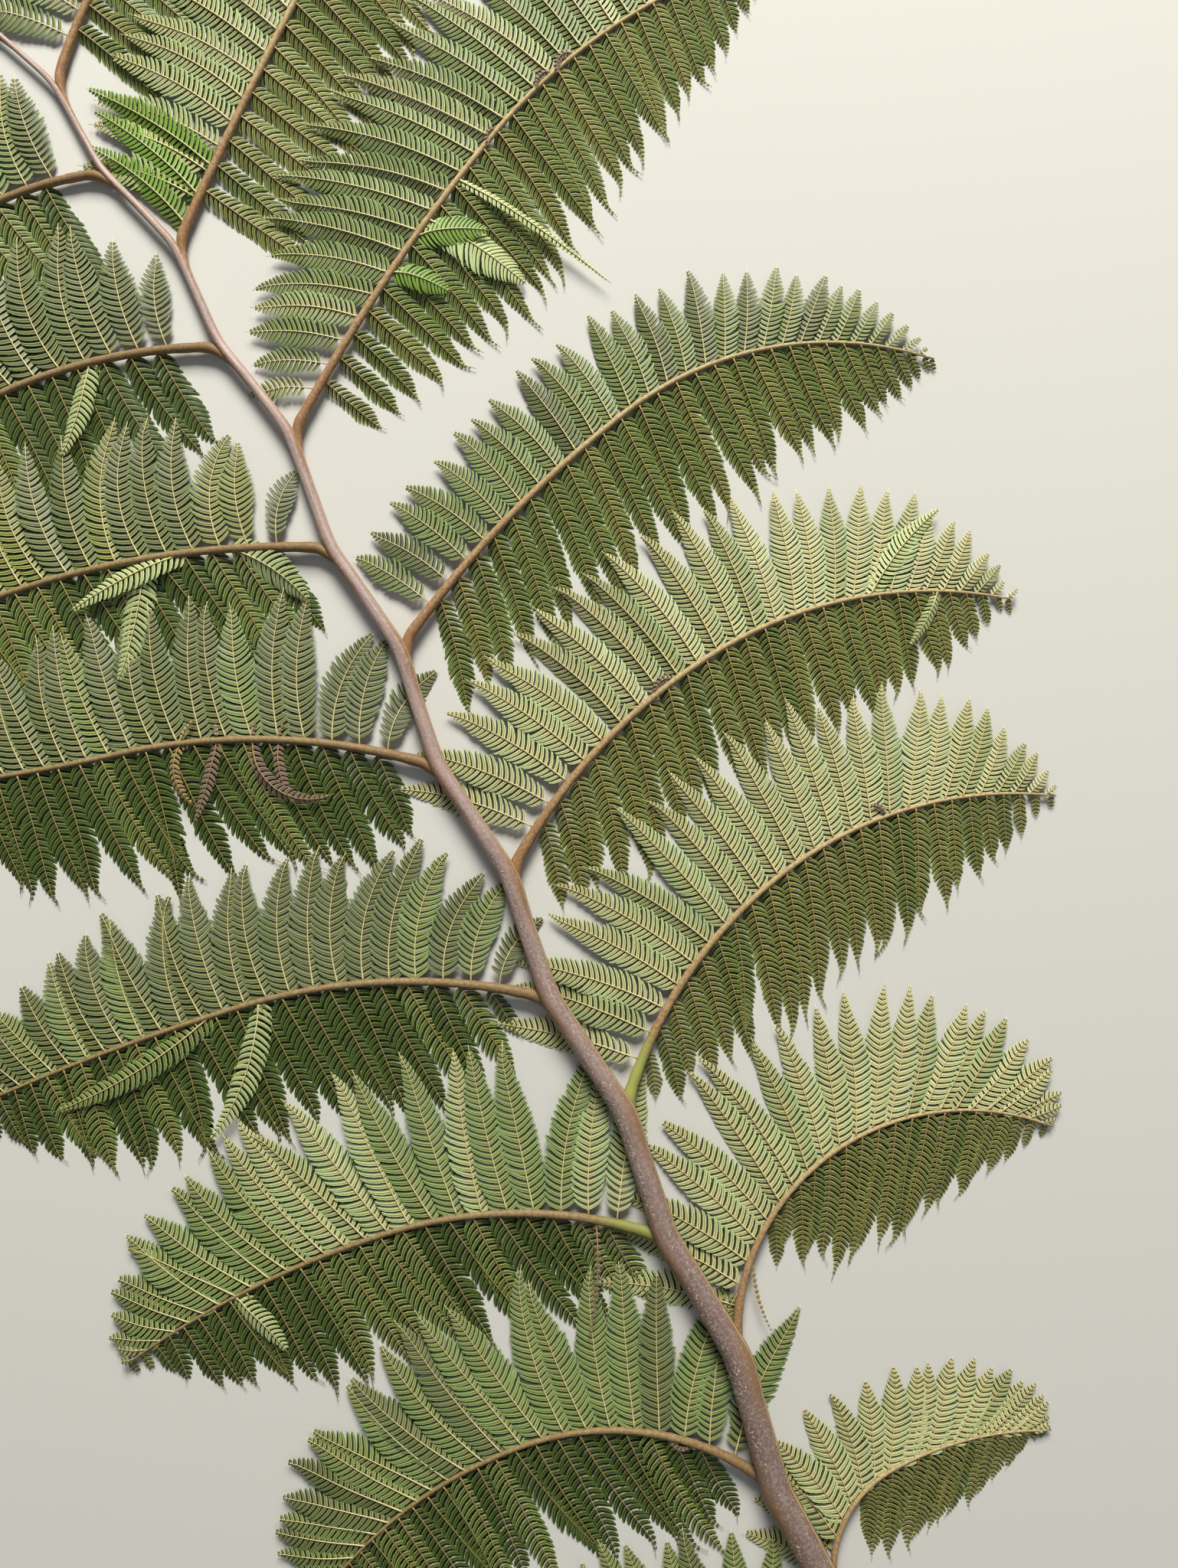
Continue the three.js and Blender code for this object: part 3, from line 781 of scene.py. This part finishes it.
# The blades of the leaflets: thin papery lobes in pairs along each midrib, cut almost to it.
# Each lobe is an oblong with a round tip that curves forward, arched over its own vein, and its raised
# edge lies over the next lobe. A lower leaflet ends in a thin curled tail.
LOBE_GAP = {True: 3.45, False: 3.9}
LOBE_GAP_POWER = 0.22
LOBE_LENGTH = {True: 13.2, False: 11.6}
LARGE_LOBES = 1.22
LARGE_UNTIL = 4
LARGEST_LOBES = 1.3
# A lobe has three corners across at each station along it, and one at its tip.
LOBE_STATIONS = np.array([0, 0.32, 0.63, 0.87, 1.0])
LOBE_WIDTHS = np.array([0.98, 1.0, 0.97, 0.72, 0.0])
LOBE_ACROSS = np.append(np.tile([0, 0.5, 1], len(LOBE_STATIONS) - 1), 0.5)
LOBE_DOWN = np.append(np.repeat(LOBE_STATIONS[:-1], 3), 1)
LOBE_CORNERS = len(LOBE_DOWN)
LOBE_OVERLAP = 1.02
LOBE_ARCH = 0.7
TIP_ARCH = 0.5
ARCHED_WIDTH = 1.7
LOBE_DROOP = 0.07
LOBE_MANNER = {True: (75, 30, 0.36), False: (76, 44, 0.42)}
TIP_LEAN = 9
TIP_CLOSING = 0.3
BARE_FOOT = {True: 14.0, False: 5.0}
LEAST_BARE = 1.6
MOST_BARE = 0.2
BARE_REACH = 0.26
FIRST_LOBES = {True: (0.5, 0.85), False: (0.62, 0.95)}
FIRST_LOBES_LENGTH = 24
OPEN_WIDTH = (0.66, 0.9)
OPEN_LENGTH = (70, 18)
LAST_LOBE = 0.8
FULL_UNTIL = {True: 0.44, False: 0.5}
TAPER = {True: 1.35, False: 1.45}
FULL_BREADTH_AT = 72
BREADTH_POWER = 0.7
TAIL_FROM = 0.94
TAIL_WIDTH = 0.13
TAIL_THINNING = 0.5
# Each lobe takes four random numbers, of which the last is spare.
SHAKES = 4
ANGLE_SHAKE = 2.0
SIZE_SHAKE = 0.035
TWIST_SHAKE = 0.05
MAP_LENGTH = 12.0
rng = np.random.default_rng(5)


def lobe_faces():
    """The triangles of one lobe: a strip between each two stations, and two that close its tip."""
    faces = []
    tip = LOBE_CORNERS - 1
    for back in range(0, tip - 3, 3):
        middle = back + 1
        front = back + 2
        faces += [(back, back + 3, middle + 3), (back, middle + 3, middle)]
        faces += [(middle, middle + 3, front + 3), (middle, front + 3, front)]
    return np.array(faces + [(tip - 3, tip, tip - 2), (tip - 2, tip, tip - 1)])


LOBE_FACES = lobe_faces()


def grow_blade(line, fold):
    """Corners, triangles, UV and the share along the leaflet of all the lobes of one leaflet.
    fold is how far each half tips down, in degrees."""
    upper = line.upper
    lean, curve, lift = LOBE_MANNER[upper]
    inner = float(np.clip(line.t / BARE_REACH, 0, 1))
    large = LARGE_LOBES if line.side > 0 or upper and line.k < LARGE_UNTIL else 1
    if upper:
        large = max(large, lerp(LARGEST_LOBES, 1, inner))
    gap = LOBE_GAP[upper] * large * min(1, line.full / LOWER_LEAFLET) ** LOBE_GAP_POWER
    bare = min(lerp(BARE_FOOT[upper], LEAST_BARE, inner) * line.size, MOST_BARE * line.full)
    places = [bare]
    while places[-1] < line.length - LAST_LOBE * gap:
        places.append(places[-1] + gap * (1 - TIP_CLOSING * (places[-1] / line.full) ** 3))
    d = np.array(places[:-1])
    q = d / line.length
    grown = d / line.full
    source = np.linspace(0, 1, len(line.at))
    roots = along_line(q, source, line.at)
    headings = np.interp(q, source, line.headings)
    ahead_way = np.concatenate([ahead(headings), np.zeros((len(d), 1))], -1)
    left_way = np.concatenate([ahead(headings + 90), np.zeros((len(d), 1))], -1)
    end = 1 if upper else TAIL_FROM
    full_until = FULL_UNTIL[upper]
    rise = lerp(lerp(*FIRST_LOBES[upper], inner), 1, ease((d - bare) / (FIRST_LOBES_LENGTH * line.size)))
    rise = rise * (1 - np.clip((grown - full_until) / (end - full_until), 0, 1) ** TAPER[upper])
    breadth = LOBE_LENGTH[upper] * line.broad * min(1, line.full / FULL_BREADTH_AT) ** BREADTH_POWER
    reach = breadth * np.maximum(rise, TAIL_WIDTH * (1 - TAIL_THINNING * grown))
    first_angle = lean - TIP_LEAN * grown ** 2
    opened = ease((d - bare) / (lerp(*OPEN_LENGTH, inner) * line.size))
    width = gap * (1 - TIP_CLOSING * grown ** 3) * LOBE_OVERLAP * lerp(lerp(*OPEN_WIDTH, inner), 1, opened)
    halves = []
    for half in (1, -1):
        tip_down = np.radians(fold[half])
        out_way = left_way * half * np.cos(tip_down) - np.array([0, 0, np.sin(tip_down)])
        over = left_way * half * np.sin(tip_down) + np.array([0, 0, np.cos(tip_down)])
        shake = rng.normal(0, 1, (len(d), SHAKES))
        first = np.radians(first_angle + ANGLE_SHAKE * shake[:, 0])
        size = reach * (1 + SIZE_SHAKE * shake[:, 1])
        twist = lift + TWIST_SHAKE * shake[:, 2]
        middle = roots.copy()
        before = 0
        corners = []
        for station, broad in zip(LOBE_STATIONS, LOBE_WIDTHS):
            angle = first - np.radians(curve) * (station + before) / 2
            way = ahead_way * np.cos(angle)[:, None] + out_way * np.sin(angle)[:, None]
            middle = middle + way * (size * (station - before))[:, None]
            before = station
            angle = first - np.radians(curve) * station
            front_way = ahead_way * np.sin(angle)[:, None] - out_way * np.cos(angle)[:, None]
            centre = middle - over * (LOBE_DROOP * size * station ** 2)[:, None]
            spread = width * np.sin(angle) * broad / 2
            arch = LOBE_ARCH * spread / ARCHED_WIDTH
            if station < 1:
                corners.append(centre - front_way * spread[:, None] + over * (spread * twist - arch)[:, None])
                corners.append(centre)
                corners.append(centre + front_way * spread[:, None] - over * (spread * twist + arch)[:, None])
            else:
                corners.append(centre - over * LOBE_ARCH * TIP_ARCH)
        order = LOBE_FACES[:, ::-1] if half > 0 else LOBE_FACES
        faces = (np.arange(len(d))[:, None, None] * LOBE_CORNERS + order[None]).reshape(-1, 3)
        down = LOBE_DOWN[None] * size[:, None] / MAP_LENGTH
        lobe_uv = np.stack([np.broadcast_to(LOBE_ACROSS, down.shape), down], -1)
        halves.append((np.stack(corners, 1).reshape(-1, 3), faces, lobe_uv[:, order].reshape(-1, 3, 2)))
    return *join(halves), np.repeat(np.tile(grown, 2), len(LOBE_FACES))


# Fern blade: thin leaf tissue with a dull, faintly waxy underside. Each lobe has a pale vein, fine side
# veins, brown spore dots 1.3 mm apart in two rows, stronger in patches of 40 mm, a buff base, a painted
# highlight along its raised edge, and a painted shadow along the edge that the next lobe covers. Distances
# are in millimetres on the lobe.
DOT_GAP = 1.3
DOT_ROW = 0.8
DOT_RADIUS = 0.34
DOT_EDGE = 0.14
VEIN_GAP = 0.65
# The colour of the painted shadow under the next lobe's raised edge.
EDGE_SHADE = "#1c2410"


def blade_material(name, base, face, edge, dots, dot_share):
    material, node, skin = start_material(name)
    surface = node("UVMap", uv_map=SURFACE_MAP)
    axes = node("SeparateXYZ", [surface])
    share_across = axes.outputs["X"]
    spot = node("TexCoord").outputs["Object"]
    centred = node("Math", [share_across, 0.5], operation="SUBTRACT")
    wide = node("Math", [centred, LOBE_GAP[True]], operation="MULTIPLY")
    across = node("Math", [wide], operation="ABSOLUTE")
    off_row = node("Math", [across, DOT_ROW], operation="SUBTRACT")
    along = node("Math", [axes.outputs["Y"], MAP_LENGTH], operation="MULTIPLY")
    off_dot = node("Math", [along, DOT_GAP / 2], operation="PINGPONG")
    beads = node("CombineXYZ", [off_row, off_dot])
    far = node("VectorMath", [beads], operation="LENGTH")
    dot = node("MapRange", {
        "Value": far, "From Min": DOT_RADIUS, "From Max": DOT_RADIUS + DOT_EDGE,
        "To Min": dot_share, "To Max": 0.0,
    })
    tones = node("TexNoise", {"Vector": spot, "Scale": 26.0, "Detail": 2.0})
    patch = node("MapRange", {"Value": tones, "From Min": 0.3, "From Max": 0.62, "To Min": 0.2})
    strength = node("Math", [dot, patch], operation="MULTIPLY")
    slanted = node("Math", [along, across], operation="SUBTRACT")
    ribs = node("Math", [slanted, VEIN_GAP / 2], operation="PINGPONG")
    rib = node("MapRange", {"Value": ribs, "From Min": 0.0, "From Max": VEIN_GAP / 2, "To Max": 0.2})
    vein = node("MapRange", {
        "Value": across, "From Min": 0.1, "From Max": 0.28, "To Min": 0.7, "To Max": 0.0,
    })
    # Painted highlight: the raised edge of each lobe is lightened where the light catches it.
    painted_highlight = node("MapRange", {
        "Value": share_across, "From Min": 0.04, "From Max": 0.24, "To Min": 0.85, "To Max": 0.0,
    })
    # The edge colour goes on the pale vein, which is the leaf's own colour, and on the raised edge as painted
    # highlight.
    light = node("Math", [vein, painted_highlight], operation="MAXIMUM")
    # Painted shadow: the covered edge of each lobe is darkened towards EDGE_SHADE, the shade under the next
    # lobe.
    painted_gap_shadow = node("MapRange", {"Value": share_across, "From Min": 0.56, "From Max": 0.76, "To Max": 0.96})
    outward = node("MapRange", {"Value": along, "From Min": 1.5, "From Max": 8.0})
    tinted = node("Mix", {"Factor": outward, UNDER: base, OVER: face}, data_type="RGBA")
    ribbed = node("Mix", {"Factor": rib, UNDER: tinted, OVER: dots}, data_type="RGBA")
    body = node("Mix", {"Factor": light, UNDER: ribbed, OVER: edge}, data_type="RGBA")
    spotted = node("Mix", {"Factor": strength, UNDER: body, OVER: dots}, data_type="RGBA")
    shaded = node("Mix", {"Factor": painted_gap_shadow, UNDER: spotted, OVER: EDGE_SHADE}, data_type="RGBA")
    connect(skin, {"Base Color": shaded, "Roughness": 0.5, "Specular IOR Level": 0.35})
    return material


# Each finish: its base, face, colour for the pale vein and the painted highlight on the raised edge, spore
# dots, and how strongly the dots show.
# The green finishes are lit and shaded copies of one leaf colour: sunlit and pale carry painted light, fresh
# and dull some painted shade, and olive, shade and deep deeper painted shade.
BLADES = {
    "sunlit": ("#b3a76c", "#9aac70", "#dbe3b0", "#6c4e28", 0.8),
    "pale": ("#9f965e", "#88a066", "#c6d29a", "#604a28", 0.7),
    "fresh": ("#73743c", "#607b40", "#a6b676", "#4c4422", 0.6),
    "dull": ("#5d592e", "#4c6034", "#969f68", "#3b3219", 0.6),
    "olive": ("#6b672e", "#5a7029", "#bcbe74", "#3a3014", 0.6),
    "shade": ("#575b27", "#4b6524", "#a9b668", "#353014", 0.55),
    "deep": ("#3b431c", "#384f1d", "#76883f", "#26260d", 0.5),
    "tail": ("#8a9c56", "#8a9c56", "#bccc88", "#7d8a50", 0.0),
    "turned": ("#6a8a30", "#5f8628", "#92ae4c", "#557a20", 0.0),
    "bright": ("#aab070", "#a8bc78", "#dce6b0", "#8a9058", 0.3),
    "withered": ("#826b5c", "#826b5c", "#b09a88", "#54443a", 0.4),
    "tan": ("#a58a58", "#a58a58", "#cdb686", "#6f5632", 0.4),
}
blade_names = list(BLADES)
blade_materials = [blade_material("fern_blade_" + name, *BLADES[name]) for name in blade_names]
# The finishes of each pinna's leaflets from the cut up, the common one first: the upper rows take the
# painted-lit finishes and the lower rows the painted-shade ones, and the left pinnae take darker finishes as
# painted shade.
UPPER_TONES = (
    "fresh dull, sunlit pale, fresh dull, sunlit pale, fresh pale, sunlit pale, dull fresh, sunlit pale, "
    "dull fresh, fresh dull, dull olive, fresh pale, dull fresh, pale sunlit, dull fresh, fresh pale"
).split(", ")
LOWER_TONES = (
    "shade deep, olive shade, deep shade, olive shade, deep shade, olive shade, deep shade, olive shade, "
    "deep shade, shade olive, deep shade, shade olive, deep shade, olive shade, deep shade, shade olive"
).split(", ")
COMMON = 0.72
FOLDS = {True: (3, 20), False: (8, 22)}
FOLD_SWAY = 20
UNDER_FOLD = 0.3
LOWEST_BLADE = 0.15
TAIL_AT = 0.86
TONE_DRAW = 9
FOLD_DRAW = 11


def dress_leaflets(name, lines, finish_for):
    """One piece of blades for all the leaflets on these lines, with a finish for each triangle."""
    blades = []
    for line in lines:
        near, far = FOLDS[line.upper]
        flat = UNDER_FOLD if line.under else 1
        jitter = (chance(line.k, line.number, FOLD_DRAW) - 0.5) * FOLD_SWAY
        outer = -1 if line.upper == (line.side > 0) else 1
        blades.append(grow_blade(line, {outer: (far + jitter) * flat, -outer: (near - jitter) * flat}))
    corners, faces, uv = join(blades)
    corners[:, 2] = np.maximum(corners[:, 2], LOWEST_BLADE)
    finish = np.concatenate([finish_for(line, blade[3]) for line, blade in zip(lines, blades)])
    piece = make_piece(name, corners, faces, uv, blade_materials, finish)
    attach(piece, "root")
    return piece


def finish_by_pinna(line, shares):
    tones = UPPER_TONES if line.upper else LOWER_TONES
    last = -2 if line.side > 0 else -1
    first, second = tones[line.k if line.k < len(tones) else last].split()
    own = blade_names.index(first if chance(line.k, line.number, TONE_DRAW) < COMMON else second)
    tail = blade_names.index("tail") if not line.upper and line.side < 0 else own
    return np.where(shares > TAIL_AT, tail, own)


GROUPS = 6
groups = [[] for _ in range(GROUPS)]
weight = np.array([sum(line.length for line in leaflets if line.k == k) for k in range(PINNAE)])
share = (np.cumsum(weight) - weight / 2) / weight.sum()
for costa in costae:
    groups[min(int(share[costa.k] * GROUPS), GROUPS - 1)].append(costa.k)
for number, members in enumerate(groups, 1):
    lines = [line for line in leaflets if line.k in members]
    blades = dress_leaflets(f"leaflet_blades_{number}", lines, finish_by_pinna)
    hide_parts(*[f"pinna_{'left' if k % 2 == 0 else 'right'}_{k // 2 + 1:02d}" for k in members])

# Some leaflets have turned over, or have slipped across their own costa. Each row gives its pinna, its
# share along the costa, heading, bend, length, height, breadth and finish.
STRAY = [
    (11, 0.33, -8, -22, 50, 9, 1.25, "turned"), (11, 0.27, -30, -26, 43, 9, 1.2, "turned"),
    (11, 0.36, -48, -16, 78, 7, 1.35, "bright"), (11, 0.43, -52, -10, 122, 9, 0.32, "bright"),
    (6, 0.47, -112, -40, 100, 9, 0.95, "bright"), (6, 0.55, -160, -22, 122, 8, 0.9, "fresh"),
    (4, 0.78, -60, -16, 52, 8, 0.9, "bright"), (7, 0.77, 42, -26, 74, 8, 0.8, "bright"),
    (7, 0.88, -130, -20, 42, 7, 0.6, "bright"), (10, 0.22, 178, 14, 84, 10, 0.8, "bright"),
    (10, 0.15, -40, -34, 64, 8, 1.15, "bright"), (10, 0.28, -116, -18, 84, 7, 0.95, "bright"),
    (12, 0.22, -118, -22, 66, 8, 0.8, "bright"), (13, 0.14, 118, 16, 98, 9, 0.95, "turned"),
    (13, 0.09, 110, 18, 92, 8, 0.9, "turned"), (13, 0.04, 106, 26, 84, 8, 0.9, "turned"),
]
# Withered leaflets hang limp and bend over, and small curled scraps cling to the costae.
LIMP = [
    (8, 0.345, -121, -14, 58, 8, 0.5, "withered"), (8, 0.29, -116, 120, 78, 8.5, 0.5, "withered"),
    (8, 0.25, -120, 44, 46, 8, 0.5, "withered"), (8, 0.4, -142, 88, 48, 9, 0.5, "tan"),
    (8, 0.4, 50, -30, 20, 9, 0.35, "tan"), (8, 0.345, 60, 30, 14, 8, 0.4, "withered"),
    (8, 0.29, 66, -20, 15, 8, 0.4, "withered"), (8, 0.25, 62, -30, 14, 8, 0.4, "withered"),
    (4, 0.13, -106, -20, 78, 11, 0.16, "withered"), (3, 0.22, -112, 30, 56, 9, 0.12, "tan"),
    (7, 0.42, 130, 170, 26, 8, 0.6, "withered"), (5, 0.7, 70, 120, 16, 8, 0.6, "withered"),
    (11, 0.67, 140, 150, 24, 8, 0.6, "withered"), (11, 0.63, 150, 120, 20, 8, 0.5, "withered"),
    (11, 0.52, 160, 140, 18, 8, 0.5, "withered"), (2, 0.22, -120, 160, 20, 8, 0.6, "withered"),
]
LOOSE_AT = 0.3
LOOSE_GROWN = 1.02
LOOSE_RISE = 0.3
LOOSE_SAG = 0.02
FIRST_STRAY = 100
FIRST_LIMP = 200


def loose_line(number, row):
    """The middle line of one stray or withered leaflet."""
    k, t, heading, bend, length, height, broad, finish = row
    costa = costae[k]
    turns = heading + bend * ((np.arange(LINE_STEPS) + 0.5) / LINE_STEPS)
    flat = walk_from(costa.at(t), turns, length)
    q = np.linspace(0, 1, LINE_STEPS + 1)
    foot = float(costa.height_at(t))
    high = foot + (height - foot) * ease(q / LOOSE_RISE) - LOOSE_SAG * length * q ** 2
    return SimpleNamespace(
        k=k, side=costa.side, upper=True, t=LOOSE_AT, number=number, length=length,
        full=length * LOOSE_GROWN, at=np.column_stack([flat, high]), headings=heading + bend * q,
        size=costa.size, under=False, broad=broad, finish=blade_names.index(finish),
        dry=finish in ("withered", "tan"),
    )


def own_finish(line, shares):
    return np.full(len(shares), line.finish)


stray_lines = [loose_line(FIRST_STRAY + i, row) for i, row in enumerate(STRAY)]
limp_lines = [loose_line(FIRST_LIMP + i, row) for i, row in enumerate(LIMP)]
dress_leaflets("stray_leaflets", stray_lines, own_finish)
dress_leaflets("withered_leaflets", limp_lines, own_finish)
make_midribs("stray_midribs", stray_lines + limp_lines)

# The floor is a plain pale matt board, far wider than the frond.
FLOOR_SIZE = 16
bpy.ops.mesh.primitive_plane_add(size=FLOOR_SIZE, location=(0, 0, 0))
floor = bpy.context.object
floor.name = "floor"
material, node, skin = start_material("plain_floor")
connect(skin, {"Base Color": "#c9c8c3", "Roughness": 0.9})
floor.data.materials.append(material)

# The camera looks straight down at the frond, turned as the photograph is.
CAMERA_AT = (0.0998, -0.1026, 0.81)
CAMERA_ROLL = -22.5
LENS = 28.125
SENSOR = 36
camera_data = bpy.data.cameras.new("camera")
camera_data.sensor_fit = "AUTO"
camera_data.sensor_width = SENSOR
camera_data.lens = LENS
camera_data.clip_start = 0.01
camera = bpy.data.objects.new("camera", camera_data)
bpy.context.scene.collection.objects.link(camera)
camera.location = CAMERA_AT
camera.rotation_euler = (0, 0, math.radians(CAMERA_ROLL))
bpy.context.scene.camera = camera

# The light is a wide soft sky from beyond the picture's top, with a faint fill from its lower right.
MIDDLE = Vector((0.1, -0.1, 0))
UP_IN_PICTURE = Vector((0.383, 0.924, 0))
RIGHT_IN_PICTURE = Vector((0.924, -0.383, 0))
SKY_AT = MIDDLE + UP_IN_PICTURE * 3.6 + Vector((0, 0, 2.5))
FILL_AT = MIDDLE - UP_IN_PICTURE * 1.2 + RIGHT_IN_PICTURE * 1.3 + Vector((0, 0, 1.8))


def add_light(name, place, size, power, colour):
    lamp = bpy.data.lights.new(name, "AREA")
    lamp.size = size
    lamp.energy = power
    lamp.color = linear(colour)[:3]
    light = bpy.data.objects.new(name, lamp)
    bpy.context.scene.collection.objects.link(light)
    light.location = place
    light.rotation_euler = (MIDDLE - light.location).to_track_quat("-Z", "Y").to_euler()


add_light("sky", SKY_AT, size=1.7, power=350, colour="#fffcf2")
add_light("fill", FILL_AT, size=2.0, power=4, colour="#f4f8ff")
world = bpy.data.worlds.new("soft_sky")
world.use_nodes = True
connect(world.node_tree.nodes["Background"], {"Color": "#eef1f4", "Strength": 0.2})
bpy.context.scene.world = world
bpy.context.scene.view_settings.view_transform = "Standard"
